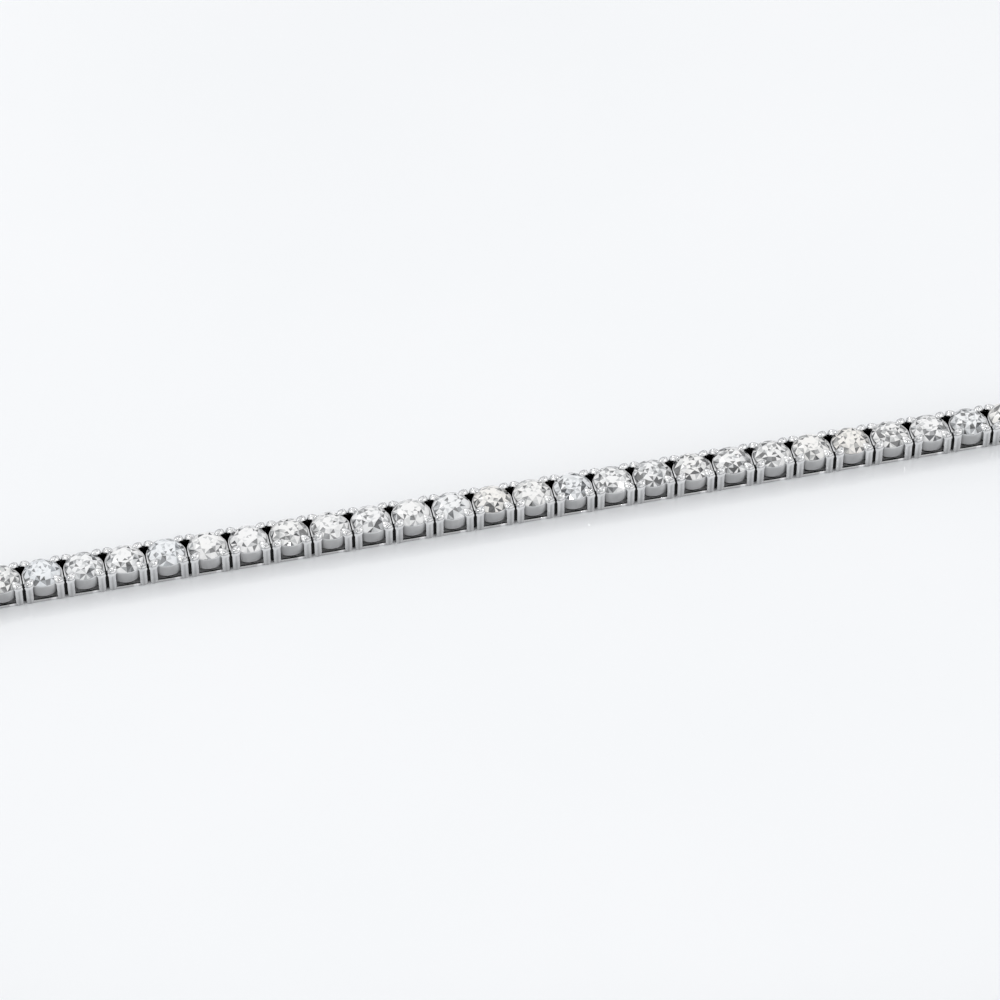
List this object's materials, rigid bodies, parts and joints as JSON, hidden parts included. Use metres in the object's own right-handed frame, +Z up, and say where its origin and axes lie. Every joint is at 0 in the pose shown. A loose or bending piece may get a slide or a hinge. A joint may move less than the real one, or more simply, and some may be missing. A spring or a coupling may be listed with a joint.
{
  "type": "tennis bracelet",
  "caption": "Closed line of equal round brilliant stones in four-prong white-metal settings with a plain box clasp, lying flat with the stones up.",
  "frame": {"origin": "on the surface that the bracelet lies on, under the middle of the loop's bounding box", "axes": "+Z up, out of the stones' tables; X along the straight run of the loop, which lies at +Y"},
  "size_m": [0.0732, 0.0386, 0.0015],
  "materials": {
    "white_metal": "polished white metal, high lustre",
    "stone": "colourless round brilliant, table, crown and pavilion facets"
  },
  "bodies": {
    "root": {"stone_row_long": "white_metal", "stone_row_short": "white_metal", "clasp": "white_metal"}
  },
  "joints": []
}
